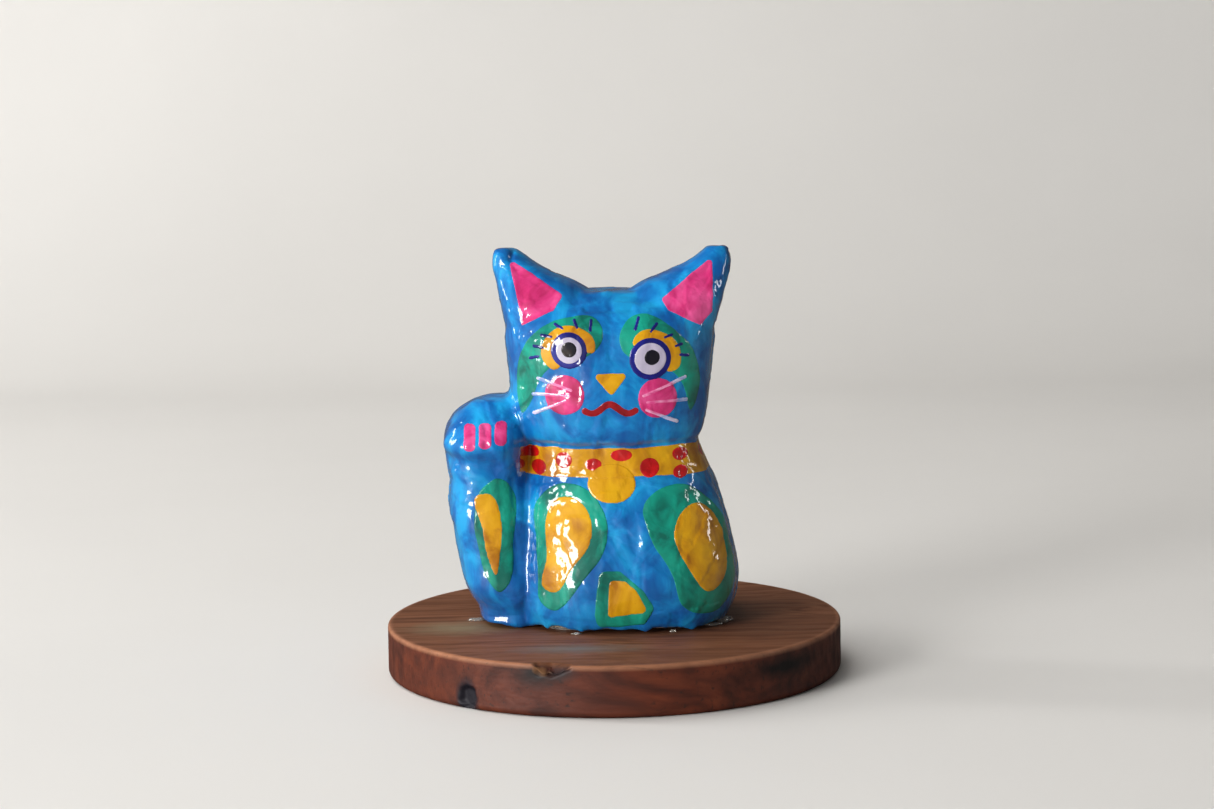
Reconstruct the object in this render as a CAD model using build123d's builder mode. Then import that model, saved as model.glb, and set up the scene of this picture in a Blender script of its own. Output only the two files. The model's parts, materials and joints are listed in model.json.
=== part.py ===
from build123d import *
from math import atan2, cos, copysign, degrees, hypot, pi, sin
import os

# A small papier-mache cat in the alebrije manner, seated with its right paw raised and glued to a
# round wooden coaster. Paper skins are pasted over a core of card tube, newspaper wads and masking
# tape, and the decoration is thin films of paint. Millimetres. +Z is up, the cat faces -Y, +X is the
# viewer's right, and the origin is the centre of the coaster's underside.

# ---- driving dimensions ----
COASTER_RADIUS = 50.0
COASTER_THICKNESS = 11.0
COASTER_EDGE_ROUND = 0.8
KNOT_CHIP = (-13.5, -48.6, COASTER_THICKNESS + 0.6)
KNOT_CHIP_RADIUS = 3.6

GLUE_THICKNESS = 0.8            # lifts the figure a little off the wood
GLUE_DABS = [(-9.0, -10.0), (14.0, -9.0), (-8.0, 9.5), (13.0, 9.0)]
GLUE_DAB_RADII = (5.2, 4.0)
SKIN_WALL = 1.6                 # about eight pasted layers of newspaper
THIN_WALL = 1.2                 # ears and tail carry fewer layers
SEAM = 0.05                     # hairline between two skins
FOLD = 0.15                     # air gap between a skin and what it covers
CARD = 1.5                      # greyboard
TAPE = 0.25                     # masking tape, two turns

FOOT_Z = COASTER_THICKNESS + GLUE_THICKNESS
NECK_Z = 51.4                   # where the head's skin meets the torso's, at the collar's top edge
CORE_FLOOR = FOOT_Z + CARD
CORE_AXIS = (2.0, -0.4)
TUBE_RADIUS = 13.0
TUBE_HEIGHT = 26.0
BELLY_WAD_HEIGHT = 18.0
BELLY_WAD_ROUND = 3.0
NECK_ROLL_RADIUS = 8.5
NECK_ROLL_TOP = 66.0
NECK_ROLL_CHAMFER = 1.0
HAUNCH_WAD_TOP = 37.0
WAIST_TAPE_HEIGHTS = (19.0, 30.0)
HEAD_TAPE_HEIGHTS = (62.0, 72.0)
HEAD_WAD_CLEAR = (1.0, 2.0)     # room under and over the head's wad
ARM_FOOT, ARM_WRIST = (-25.6, -1.5, FOOT_Z + 1.0), (-28.6, -1.5, 44.0)
ARM_ROLL_RADIUS = 3.6
PAW_WAD_HEIGHTS = (45.0, 57.0)
EAR_CARD_OUTLINE = [(5.5, 80.6), (21.6, 80.6), (22.6, 90.0)]
EAR_CARD_FORWARD = 1.2

PAINT = 0.1                     # thickness of a dry coat
PAINT_GAP = 0.02                # keeps a film just clear of the skin or coat it lies on
PAINT_REACH = 60.0              # how far a decoration is projected onto the figure
END_MARGIN = 0.6                # the coats stop short of a skin's open ends

SECTION_POINTS = 16
SQUARENESS = 2.6                # superellipse exponent: 2 is an ellipse, more is boxier

# ---- horizontal sections of the outer form: (z, centre x, centre y, half width, half depth) ----
TORSO = [
    (FOOT_Z - 0.4, 2.2, -0.8, 22.2, 18.4),
    (16.0, 2.9, -0.6, 24.0, 20.2),
    (23.0, 3.0, -0.4, 24.3, 20.6),
    (31.0, 2.8, -0.4, 23.0, 19.6),
    (38.0, 2.2, -0.4, 21.6, 17.8),
    (44.0, 1.4, -0.4, 20.0, 15.4),
    (48.0, 0.8, -0.4, 18.9, 14.2),
    (NECK_Z + 0.4, 0.5, -0.4, 18.6, 13.8),
]
HEAD = [
    (NECK_Z - 0.3, 0.2, -0.6, 19.2, 14.8),
    (55.0, 0.0, -0.6, 20.8, 16.2),
    (60.0, 0.0, -0.6, 21.7, 17.0),
    (68.0, 0.0, -0.6, 22.3, 17.2),
    (75.0, 0.0, -0.8, 22.8, 16.2),
    (80.0, 0.0, -1.0, 21.0, 12.6),
    (83.6, 0.0, -1.0, 15.5, 7.5),
]
ARM = [
    (FOOT_Z - 0.4, -22.5, -1.8, 7.4, 10.8),
    (18.0, -23.2, -1.6, 8.5, 11.8),
    (24.6, -24.4, -1.5, 8.9, 12.2),
    (31.2, -25.4, -1.5, 9.3, 12.2),
    (37.8, -26.2, -1.4, 9.3, 12.0),
    (44.4, -26.8, -1.3, 8.9, 11.6),
    (50.5, -27.2, -1.8, 9.4, 12.4),
    (55.5, -26.6, -1.4, 9.0, 11.0),
    (58.8, -25.4, -1.2, 7.2, 8.6),
    (61.0, -23.2, -1.0, 3.6, 5.4),
]
RIGHT_EAR = [
    (74.5, 12.4, -1.6, 9.8, 9.2),
    (78.0, 13.1, -1.8, 10.7, 10.8),
    (83.0, 14.6, -1.8, 10.6, 9.2),
    (87.0, 18.5, -1.4, 7.5, 6.4),
    (90.0, 22.0, -1.0, 4.5, 4.6),
    (92.8, 23.6, -0.8, 2.3, 2.4),
]
LEFT_EAR = [
    (74.5, -12.2, -1.6, 9.6, 9.2),
    (78.0, -12.8, -1.8, 10.5, 10.8),
    (83.0, -14.0, -1.8, 10.3, 9.2),
    (87.0, -17.8, -1.4, 7.3, 6.4),
    (90.0, -21.0, -1.0, 4.5, 4.6),
    (92.8, -22.4, -0.8, 2.3, 2.4),
]
TAIL_PATH = [(2.0, 14.6, 17.0), (9.0, 19.2, 15.8), (17.0, 17.4, 17.0), (23.8, 11.0, 22.0)]
TAIL_RADIUS = 3.0


# ---- shape helpers ----
def superellipse_ring(section, grow):
    """Points around one section, with its half width and half depth grown by the given amount."""
    _, centre_x, centre_y, half_x, half_y = section
    points = []
    for step in range(SECTION_POINTS):
        turn = 2 * pi * step / SECTION_POINTS
        along, across = cos(turn), sin(turn)
        x = (half_x + grow) * copysign(abs(along) ** (2 / SQUARENESS), along)
        y = (half_y + grow) * copysign(abs(across) ** (2 / SQUARENESS), across)
        points.append((centre_x + x, centre_y + y))
    return points


def form(sections, grow=0.0):
    """A solid lofted through the sections, its sides grown by the given amount."""
    with BuildPart() as solid:
        for section in sections:
            with BuildSketch(Plane.XY.offset(section[0])):
                with BuildLine():
                    Spline(*superellipse_ring(section, grow), periodic=True)
                make_face()
        loft()
    return solid.part


def facing(azimuth):
    """A vertical plane through the origin whose normal is the viewing side, azimuth from the front."""
    turn = azimuth * pi / 180
    return Plane(
        origin=(0, 0, 0), x_dir=(cos(turn), sin(turn), 0), z_dir=(sin(turn), -cos(turn), 0)
    )


def slab(low, high):
    """Everything between two heights."""
    with BuildPart(Plane.XY.offset(low)) as layer:
        Box(300, 300, high - low, align=(Align.CENTER, Align.CENTER, Align.MIN))
    return layer.part


def between(solid, low, high):
    """The part of a solid between two heights."""
    return solid & slab(low, high)


def sleeve(sections, outer, inner, low, high):
    """A band between two heights, whose faces stand off the outer form by the amounts outer and inner."""
    return between(form(sections, outer), low, high) - form(sections, inner)


def tube_along(path_points, radius):
    """A round bar along a curve, with a round tip."""
    with BuildPart() as bar:
        with BuildLine() as path:
            Spline(*path_points)
        with BuildSketch(Plane(origin=path_points[0], z_dir=path.line % 0)):
            Circle(radius)
        sweep()
        with Locations(path_points[-1]):
            Sphere(radius)
    return bar.part


def save(solids, name):
    """Labels a finished piece and writes its STEP file."""
    solids = solids if isinstance(solids, list) else [solids]
    pieces = [piece for solid in solids for piece in solid.solids()]
    whole = pieces[0] if len(pieces) == 1 else Compound(children=pieces)
    whole.label = name
    export_step(whole, f"parts/{name}.step")


os.makedirs("parts", exist_ok=True)

# ---- coaster: a slice of acacia, with a knot chipped out of its front edge ----
with BuildPart() as coaster:
    Cylinder(COASTER_RADIUS, COASTER_THICKNESS, align=(Align.CENTER, Align.CENTER, Align.MIN))
    fillet(coaster.edges().filter_by(GeomType.CIRCLE), COASTER_EDGE_ROUND)
    with Locations(KNOT_CHIP):
        Sphere(KNOT_CHIP_RADIUS, mode=Mode.SUBTRACT)
save(coaster.part, "wooden_coaster")

# ---- outer forms, which everything inside is fitted to ----
torso_form = between(form(TORSO), FOOT_Z, NECK_Z)
head_form = between(form(HEAD), NECK_Z + SEAM, HEAD[-1][0])
arm_form = between(form(ARM), FOOT_Z, ARM[-1][0])
tail_form = tube_along(TAIL_PATH, TAIL_RADIUS)


def ear(sections):
    """A hollow ear standing on the head."""
    tip = sections[-1][0] - THIN_WALL
    return form(sections) - between(form(sections, -THIN_WALL), 0.0, tip) - head_form


# ---- paper skins ----
head_cavity = between(form(HEAD, -SKIN_WALL), 0.0, HEAD[-1][0] - SKIN_WALL)
arm_cavity = between(form(ARM, -SKIN_WALL), 0.0, ARM[-1][0] - SKIN_WALL)
save(sleeve(TORSO, 0.0, -SKIN_WALL, FOOT_Z, NECK_Z), "torso_skin")
save(head_form - head_cavity, "head_skin")
save(arm_form - arm_cavity - form(TORSO, SEAM) - head_form, "raised_arm_skin")
save(ear(RIGHT_EAR), "right_ear_skin")
save(ear(LEFT_EAR), "left_ear_skin")
save(tail_form - tube_along(TAIL_PATH, TAIL_RADIUS - THIN_WALL) - torso_form, "tail_skin")

# ---- floor card, and the glue under it ----
save(between(form(TORSO, -SKIN_WALL - FOLD), FOOT_Z, FOOT_Z + CARD), "floor_card")

with BuildPart() as glue:
    with BuildSketch(Plane.XY.offset(COASTER_THICKNESS)):
        with Locations(*GLUE_DABS):
            Ellipse(*GLUE_DAB_RADII)
    extrude(amount=GLUE_THICKNESS)
save(glue.part, "glue_dabs")

# ---- core ----
UPRIGHT = (Align.CENTER, Align.CENTER, Align.MIN)

with BuildPart(Plane.XY.offset(CORE_FLOOR)) as body_tube:
    with Locations(CORE_AXIS):
        Cylinder(TUBE_RADIUS, TUBE_HEIGHT, align=UPRIGHT)
        Cylinder(TUBE_RADIUS - CARD, TUBE_HEIGHT, align=UPRIGHT, mode=Mode.SUBTRACT)
save(body_tube.part, "body_tube")

with BuildPart(Plane.XY.offset(CORE_FLOOR)) as belly_wad:
    with Locations(CORE_AXIS):
        Cylinder(TUBE_RADIUS - CARD - FOLD, BELLY_WAD_HEIGHT, align=UPRIGHT)
    fillet(belly_wad.edges().group_by(Axis.Z)[-1], BELLY_WAD_ROUND)
save(belly_wad.part, "belly_wad")

neck_roll_foot = CORE_FLOOR + BELLY_WAD_HEIGHT
with BuildPart(Plane.XY.offset(neck_roll_foot)) as neck_roll:
    with Locations(CORE_AXIS):
        Cylinder(NECK_ROLL_RADIUS, NECK_ROLL_TOP - neck_roll_foot, align=UPRIGHT)
    chamfer(neck_roll.edges().group_by(Axis.Z)[-1], NECK_ROLL_CHAMFER)
save(neck_roll.part, "neck_roll")

# Newspaper packed between the tube and the torso's skin: a left and a right wad under a turn of tape.
with BuildPart(Plane.XY.offset(CORE_FLOOR)) as tube_room:
    with Locations(CORE_AXIS):
        Cylinder(TUBE_RADIUS + FOLD, TUBE_HEIGHT, align=UPRIGHT)
with BuildPart() as wad_parting:
    with Locations((CORE_AXIS[0], 0)):
        Box(2 * FOLD, 4 * COASTER_RADIUS, 4 * COASTER_RADIUS)
haunch_wads = between(form(TORSO, -SKIN_WALL - TAPE - 3 * FOLD), CORE_FLOOR + FOLD, HAUNCH_WAD_TOP)
haunch_wads = haunch_wads - tube_room.part - wad_parting.part
left_wad, right_wad = haunch_wads.solids().sort_by(Axis.X)
save(left_wad, "left_haunch_wad")
save(right_wad, "right_haunch_wad")

tape_outer, tape_inner = -SKIN_WALL - FOLD, -SKIN_WALL - FOLD - TAPE
save(sleeve(TORSO, tape_outer, tape_inner, *WAIST_TAPE_HEIGHTS), "waist_tape")
save(sleeve(HEAD, tape_outer, tape_inner, *HEAD_TAPE_HEIGHTS), "head_tape")

with BuildPart(Plane.XY.offset(NECK_Z)) as roll_room:
    with Locations(CORE_AXIS):
        Cylinder(NECK_ROLL_RADIUS + FOLD, NECK_ROLL_TOP + FOLD - NECK_Z, align=UPRIGHT)
head_wad_foot = NECK_Z + HEAD_WAD_CLEAR[0]
head_wad_top = HEAD[-1][0] - SKIN_WALL - HEAD_WAD_CLEAR[1]
head_wad = between(form(HEAD, -SKIN_WALL - TAPE - 3 * FOLD), head_wad_foot, head_wad_top)
save(head_wad - roll_room.part, "head_wad")

# Card triangles that stiffen the ears.
with BuildPart() as ear_card:
    with BuildSketch(Plane.XZ.offset(EAR_CARD_FORWARD)):
        with BuildLine():
            Polyline(*EAR_CARD_OUTLINE, close=True)
        make_face()
    extrude(amount=CARD / 2, both=True)
left_blank = mirror(ear_card.part, about=Plane.YZ)
save((ear_card.part & form(RIGHT_EAR, -THIN_WALL - FOLD)) - form(HEAD, FOLD), "right_ear_card")
save((left_blank & form(LEFT_EAR, -THIN_WALL - FOLD)) - form(HEAD, FOLD), "left_ear_card")

# The raised arm: a leaning paper roll, with a wad on top for the paw.
arm_lean = Vector(*ARM_WRIST) - Vector(*ARM_FOOT)
arm_room = form(ARM, -SKIN_WALL - FOLD) - form(TORSO, FOLD)
with BuildPart(Plane(origin=ARM_FOOT, z_dir=arm_lean)) as arm_roll:
    Cylinder(ARM_ROLL_RADIUS, arm_lean.length, align=UPRIGHT)
save(arm_roll.part & arm_room, "arm_roll")
save(between(arm_room, *PAW_WAD_HEIGHTS) - form(HEAD, FOLD), "paw_wad")

save(tube_along(TAIL_PATH, TAIL_RADIUS - THIN_WALL - FOLD) - form(TORSO, FOLD), "tail_roll")


# ---- paint ----
# A decoration is a film on one skin, cut out by a stencil that faces it. Coats are numbered from the
# skin outwards, and a film of a higher coat lies over the lower ones.
SKINS = {"torso": TORSO, "head": HEAD, "arm": ARM, "right_ear": RIGHT_EAR, "left_ear": LEFT_EAR}
FRONT, BACK, RIGHT_SIDE, RIGHT_HAUNCH = 0.0, 180.0, 90.0, 38.0
coats = {}


def coat(skin, number):
    """A whole coat of paint on a skin."""
    if (skin, number) not in coats:
        sections = SKINS[skin]
        under = PAINT_GAP + number * (PAINT + PAINT_GAP)
        low, high = sections[0][0] + END_MARGIN, sections[-1][0] - END_MARGIN
        coats[skin, number] = sleeve(sections, under + PAINT, under, low, high)
    return coats[skin, number]


def painted(skin, number, outline, azimuth=FRONT):
    """The film that an outline leaves on a skin, seen from one side of the figure."""
    with BuildPart() as stencil:
        with BuildSketch(facing(azimuth)):
            add(outline)
        extrude(amount=PAINT_REACH)
    return coat(skin, number) & stencil.part


def blob(*points):
    """A closed smooth outline."""
    with BuildSketch() as outline:
        with BuildLine():
            Spline(*points, periodic=True)
        make_face()
    return outline.sketch


def patch(*points, corner=0.7):
    """A closed outline with straight sides and rounded corners."""
    with BuildSketch() as outline:
        with BuildLine():
            Polyline(*points, close=True)
        make_face()
        fillet(outline.vertices(), corner)
    return outline.sketch


def dot(centre, radius_x, radius_y=None):
    """A round or oval dab."""
    with BuildSketch() as outline:
        with Locations(centre):
            Ellipse(radius_x, radius_y or radius_x)
    return outline.sketch


def strokes(width, *lines):
    """Short straight brush strokes with round ends."""
    with BuildSketch() as outline:
        for (x0, z0), (x1, z1) in lines:
            with Locations(((x0 + x1) / 2, (z0 + z1) / 2)):
                SlotCenterToCenter(hypot(x1 - x0, z1 - z0), width, degrees(atan2(z1 - z0, x1 - x0)))
    return outline.sketch


# Left and right are the viewer's. Places are (across, height) as each stencil's side sees them.
LEFT_EYE, RIGHT_EYE = (-8.7, 71.9), (8.6, 69.9)
LEFT_WHITE_RADIUS, RIGHT_WHITE_RADIUS = 2.95, 3.55
EYE_RING_WIDTH = 1.0
PUPIL_RADIUS = 1.85
CHEEK_RADIUS = 4.3
LASH_WIDTH, WHISKER_WIDTH, LIP_WIDTH = 0.8, 0.9, 1.5

with BuildSketch() as mouth_line:
    with BuildLine() as lip:
        Spline((-5.4, 59.1), (-3.2, 58.7), (-0.3, 60.4), (2.9, 58.6), (5.2, 59.0))
    trace(line_width=LIP_WIDTH)
    with Locations(lip.line @ 0, lip.line @ 1):
        Circle(LIP_WIDTH / 2)

save([
    painted("head", 4, dot((LEFT_EYE[0], LEFT_EYE[1] + 0.2), PUPIL_RADIUS)),
    painted("head", 4, dot((RIGHT_EYE[0] + 0.4, RIGHT_EYE[1] + 0.3), PUPIL_RADIUS)),
], "pupils")
save([
    painted("head", 3, dot(LEFT_EYE, LEFT_WHITE_RADIUS)),
    painted("head", 3, dot(RIGHT_EYE, RIGHT_WHITE_RADIUS)),
], "eye_whites")
save([
    painted("head", 2, dot(LEFT_EYE, LEFT_WHITE_RADIUS + EYE_RING_WIDTH)),
    painted("head", 2, dot(RIGHT_EYE, RIGHT_WHITE_RADIUS + EYE_RING_WIDTH)),
], "eye_rings")
save([
    painted("head", 2, strokes(
        LASH_WIDTH,
        ((-17.0, 70.2), (-15.3, 70.6)), ((-16.1, 72.8), (-14.2, 72.5)), ((-14.5, 75.1), (-12.4, 74.8)),
        ((-11.6, 77.5), (-10.0, 76.5)), ((-7.5, 78.3), (-6.9, 76.7)), ((-3.9, 78.2), (-4.1, 76.1)),
    )),
    painted("head", 2, strokes(
        LASH_WIDTH,
        ((6.2, 78.6), (5.5, 76.2)), ((10.1, 77.3), (8.8, 75.6)), ((13.2, 74.8), (11.7, 74.3)),
        ((15.3, 72.8), (14.0, 72.4)), ((16.8, 70.3), (15.0, 70.5)),
    )),
], "eyelashes")
save([
    painted("head", 2, strokes(
        WHISKER_WIDTH,
        ((-8.4, 63.4), (-15.4, 65.9)), ((-8.8, 62.3), (-16.4, 62.5)), ((-9.6, 61.2), (-16.4, 58.4)),
    )),
    painted("head", 2, strokes(
        WHISKER_WIDTH,
        ((7.0, 62.0), (16.2, 65.6)), ((7.8, 60.6), (16.5, 60.7)), ((7.6, 59.0), (14.4, 56.0)),
    )),
], "whiskers")
save([
    painted("head", 1, dot((-9.8, 62.4), CHEEK_RADIUS)),
    painted("head", 1, dot((10.1, 61.4), CHEEK_RADIUS)),
], "cheeks")
save([
    painted("head", 1, blob(
        (-12.7, 68.0), (-14.7, 71.4), (-13.8, 74.4), (-11.4, 76.6), (-8.4, 77.2), (-5.3, 76.2),
        (-3.2, 74.0), (-3.4, 71.4), (-6.0, 71.6), (-9.6, 69.6),
    )),
    painted("head", 1, blob(
        (4.8, 73.6), (6.0, 75.4), (8.4, 76.2), (11.2, 75.5), (13.8, 73.8), (15.2, 70.6), (14.4, 67.4),
        (12.4, 67.0), (10.0, 69.6), (7.2, 71.6),
    )),
], "eyelids")
left_shadow = painted("head", 0, blob(
    (-19.0, 58.4), (-20.1, 65.1), (-19.3, 70.6), (-16.2, 75.2), (-12.1, 78.0), (-7.9, 79.0),
    (-3.6, 78.9), (-1.6, 76.6), (-2.0, 73.0), (-7.7, 69.6), (-13.4, 67.7), (-15.4, 64.6),
    (-16.9, 60.8),
))
right_shadow = painted("head", 0, blob(
    (2.4, 72.6), (2.7, 76.4), (4.6, 78.9), (9.0, 79.0), (14.3, 75.4), (17.6, 71.8), (19.1, 66.6),
    (18.6, 60.8), (17.5, 58.2), (16.2, 62.2), (14.2, 66.2), (8.6, 69.0),
))
left_shadow = left_shadow - form(LEFT_EAR, PAINT_GAP)
right_shadow = right_shadow - form(RIGHT_EAR, PAINT_GAP)
save([left_shadow, right_shadow], "eye_shadows")
save(painted("head", 0, patch((-3.9, 66.9), (4.0, 66.9), (0.2, 62.1))), "nose")
save(painted("head", 0, mouth_line.sketch), "mouth")
left_pink = painted("left_ear", 0, patch((-21.6, 91.2), (-9.8, 83.3), (-12.3, 79.5), (-18.5, 76.0)))
right_pink = painted(
    "right_ear", 0, patch((22.4, 90.6), (11.1, 82.2), (12.8, 79.5), (19.4, 76.4), (22.2, 79.2))
)
head_room = form(HEAD, PAINT_GAP)
save([left_pink - head_room, right_pink - head_room], "ear_pinks")
save([
    painted("arm", 0, patch((-31.4, 50.4), (-29.0, 50.2), (-29.1, 56.1), (-31.7, 56.0), corner=1.0)),
    painted("arm", 0, patch((-28.4, 50.8), (-25.7, 50.7), (-25.6, 56.2), (-28.4, 56.2), corner=1.1)),
    painted("arm", 0, patch((-25.0, 51.3), (-22.4, 51.3), (-22.4, 56.4), (-25.0, 56.3), corner=1.1)),
], "claws")

# The collar runs round the neck from the raised arm to the back, and the bell hangs over its front.
COLLAR_LOW, COLLAR_HIGH = 44.4, 50.6
BELL = dot((-0.1, 43.2), 5.2, 4.1)
FRONT_DOTS = [
    ((-17.4, 49.3), 1.7, 1.3), ((-15.8, 46.2), 1.7, 1.7), ((-10.3, 48.0), 1.9, 1.8),
    ((-3.9, 47.1), 1.9, 1.4), ((2.1, 49.0), 2.4, 1.4), ((8.1, 46.3), 2.2, 2.1), ((14.7, 48.8), 1.8, 1.5),
    ((14.8, 45.2), 1.7, 1.4),
]
SIDE_DOTS = [((-3.6, 48.6), 1.8, 1.5), ((3.6, 46.2), 1.8, 1.5)]
BACK_DOTS = [
    ((-12.0, 48.6), 1.9, 1.6), ((-5.0, 46.3), 2.0, 1.7), ((2.0, 48.7), 2.0, 1.6), ((9.0, 46.6), 1.9, 1.8),
]
save(painted("torso", 2, BELL), "bell")
collar_dots = [painted("torso", 1, dot(*place)) for place in FRONT_DOTS]
collar_dots += [painted("torso", 1, dot(*place), RIGHT_SIDE) for place in SIDE_DOTS]
collar_dots += [painted("torso", 1, dot(*place), BACK) for place in BACK_DOTS]
save(collar_dots, "collar_dots")
save(between(coat("torso", 0), COLLAR_LOW, COLLAR_HIGH) - form(ARM, SEAM), "collar")

# Spots: a green patch, with a smaller ochre heart painted over it.
SPOTS = {
    "arm": ("arm", FRONT, blob(
        (-28.3, 40.9), (-25.9, 40.7), (-24.3, 37.8), (-24.3, 27.2), (-25.2, 23.2), (-27.5, 28.5),
        (-28.5, 34.5),
    ), blob(
        (-25.5, 43.9), (-28.6, 41.0), (-29.8, 35.0), (-29.0, 28.6), (-27.2, 22.4), (-24.6, 19.5),
        (-21.9, 22.8), (-21.3, 29.0), (-20.5, 38.4), (-21.9, 42.6),
    )),
    "belly": ("torso", FRONT, blob(
        (-10.4, 40.6), (-6.8, 39.5), (-4.4, 35.2), (-5.4, 29.6), (-9.3, 24.4), (-12.8, 20.0),
        (-15.0, 20.6), (-14.6, 26.5), (-14.5, 33.6), (-13.6, 38.0),
    ), blob(
        (-16.7, 34.9), (-15.0, 40.4), (-10.2, 43.3), (-4.6, 41.5), (-1.5, 36.2), (-1.7, 29.4),
        (-5.6, 23.8), (-9.6, 18.9), (-13.2, 15.9), (-15.9, 17.9), (-16.3, 23.0), (-16.6, 28.8),
    )),
    "toe": ("torso", FRONT, patch(
        (-1.0, 23.1), (2.4, 23.0), (5.0, 20.8), (7.4, 15.8), (-1.5, 14.7), corner=1.0,
    ), patch(
        (-2.9, 24.9), (1.4, 25.0), (6.2, 20.9), (8.8, 16.6), (6.6, 13.0), (-3.6, 12.6), (-4.3, 15.6),
        corner=1.4,
    )),
    "haunch": ("torso", RIGHT_HAUNCH, blob(
        (-1.5, 30.7), (-0.4, 35.0), (5.5, 38.6), (10.1, 35.2), (12.0, 28.8), (10.2, 21.9), (5.0, 19.6),
        (1.6, 23.4), (-0.5, 27.6),
    ), blob(
        (-6.3, 35.1), (-5.0, 39.6), (4.0, 42.4), (9.8, 38.6), (15.6, 30.0), (16.0, 21.4), (11.4, 16.2),
        (4.2, 14.8), (-0.9, 17.4), (-2.6, 23.8), (-5.4, 30.0),
    )),
    "back_left": ("torso", BACK, blob(
        (-9.5, 38.6), (-5.6, 35.0), (-6.4, 29.0), (-11.0, 27.4), (-14.6, 31.4), (-13.4, 36.6),
    ), blob(
        (-9.5, 41.8), (-3.2, 38.0), (-2.8, 27.6), (-10.8, 23.6), (-18.0, 29.4), (-16.8, 39.0),
    )),
    "back_right": ("torso", BACK, blob(
        (6.6, 33.2), (10.6, 30.0), (11.2, 23.6), (7.6, 19.6), (4.2, 23.4), (3.4, 29.6),
    ), blob(
        (6.6, 36.8), (12.8, 33.4), (14.6, 23.0), (8.4, 15.8), (1.6, 20.4), (0.4, 31.0),
    )),
    "nape": ("head", BACK, blob(
        (-2.6, 71.6), (3.8, 72.4), (6.6, 68.0), (3.0, 63.4), (-3.4, 62.8), (-6.4, 67.0),
    ), blob(
        (-4.0, 75.0), (5.0, 75.6), (10.4, 69.0), (5.6, 60.2), (-4.8, 59.4), (-10.2, 66.6),
    )),
}
save([painted(skin, 1, heart, side) for skin, side, heart, rim in SPOTS.values()], "spot_hearts")
save([painted(skin, 0, rim, side) for skin, side, heart, rim in SPOTS.values()], "spot_rims")
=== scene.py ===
import json
import math
import random

import bpy
import numpy as np
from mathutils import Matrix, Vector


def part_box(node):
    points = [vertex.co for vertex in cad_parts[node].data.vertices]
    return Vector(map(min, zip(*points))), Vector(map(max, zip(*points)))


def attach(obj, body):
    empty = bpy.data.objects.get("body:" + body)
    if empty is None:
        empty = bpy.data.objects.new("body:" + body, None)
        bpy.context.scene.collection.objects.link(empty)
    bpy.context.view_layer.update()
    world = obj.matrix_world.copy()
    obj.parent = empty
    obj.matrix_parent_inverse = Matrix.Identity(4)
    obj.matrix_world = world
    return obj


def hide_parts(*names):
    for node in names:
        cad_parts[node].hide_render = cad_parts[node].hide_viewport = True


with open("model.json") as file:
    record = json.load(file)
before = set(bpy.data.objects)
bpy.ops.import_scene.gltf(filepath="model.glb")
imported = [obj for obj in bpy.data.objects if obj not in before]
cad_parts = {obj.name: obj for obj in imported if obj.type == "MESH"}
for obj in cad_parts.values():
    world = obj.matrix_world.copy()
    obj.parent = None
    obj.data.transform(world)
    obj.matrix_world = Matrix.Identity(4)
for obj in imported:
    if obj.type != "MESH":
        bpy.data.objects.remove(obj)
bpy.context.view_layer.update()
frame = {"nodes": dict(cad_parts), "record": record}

import openvdb
from mathutils import Matrix, Vector, noise
from mathutils.bvhtree import BVHTree

# The looks of a papier-mache cat on a wooden coaster. The paper's outer surface is grown from the CAD
# skins as one sculpted sheet, cut into the CAD's skins again, and each coat of paint is a thin raised
# patch of that same sheet. Lengths are in millimetres until an object is made, which is in metres.

MM = 0.001
chance = random.Random(11)

SKIN_NODES = (
    "torso_skin", "head_skin", "raised_arm_skin", "left_ear_skin", "right_ear_skin", "tail_skin",
)
# film node: the number of its coat, from the skin outwards
COATS = {
    "eye_shadows": 0, "eyelids": 1, "eyelashes": 2, "eye_rings": 2, "eye_whites": 3, "pupils": 4,
    "cheeks": 1, "whiskers": 2, "nose": 0, "mouth": 0, "ear_pinks": 0, "claws": 0,
    "collar": 0, "collar_dots": 1, "bell": 2, "spot_rims": 0, "spot_hearts": 1,
}
TINY = 1e-9                      # keeps a division from being by zero


# ---------------------------------------------------------------- places, from the CAD's own boxes
def box_mm(node):
    low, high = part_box(node)
    return np.array(low) / MM, np.array(high) / MM


def place(node, across, deep, high):
    """A point in a node's box, as shares of its width, depth and height."""
    low, top = box_mm(node)
    return low + (top - low) * np.array((across, deep, high))


def cad_mesh(node):
    mesh = frame["nodes"][node].data
    mesh.calc_loop_triangles()
    points = np.empty(len(mesh.vertices) * 3, np.float32)
    mesh.vertices.foreach_get("co", points)
    triangles = np.empty(len(mesh.loop_triangles) * 3, np.int32)
    mesh.loop_triangles.foreach_get("vertices", triangles)
    return points.reshape(-1, 3) / MM, triangles.reshape(-1, 3)


def joined(meshes):
    points, triangles, start = [], [], 0
    for mesh_points, mesh_triangles in meshes:
        points.append(mesh_points)
        triangles.append(mesh_triangles + start)
        start += len(mesh_points)
    return np.concatenate(points), np.concatenate(triangles)


# ---------------------------------------------------------------- surface arithmetic
def unit(vectors):
    return vectors / np.maximum(np.linalg.norm(vectors, axis=1, keepdims=True), TINY)


def smoothstep(low, high, value):
    t = np.clip((value - low) / (high - low), 0.0, 1.0)
    return t * t * (3.0 - 2.0 * t)


def vertex_normals(points, triangles):
    corners = points[triangles]
    face = np.cross(corners[:, 1] - corners[:, 0], corners[:, 2] - corners[:, 0])
    total = np.zeros_like(points)
    for corner in range(3):
        for axis in range(3):
            total[:, axis] += np.bincount(
                triangles[:, corner], weights=face[:, axis], minlength=len(points)
            )
    return unit(total)


def compacted(data, triangles):
    """A mesh without the points that none of its triangles use."""
    used = np.unique(triangles)
    place_of = np.full(len(data), -1)
    place_of[used] = np.arange(len(used))
    return data[used], place_of[triangles]


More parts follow.
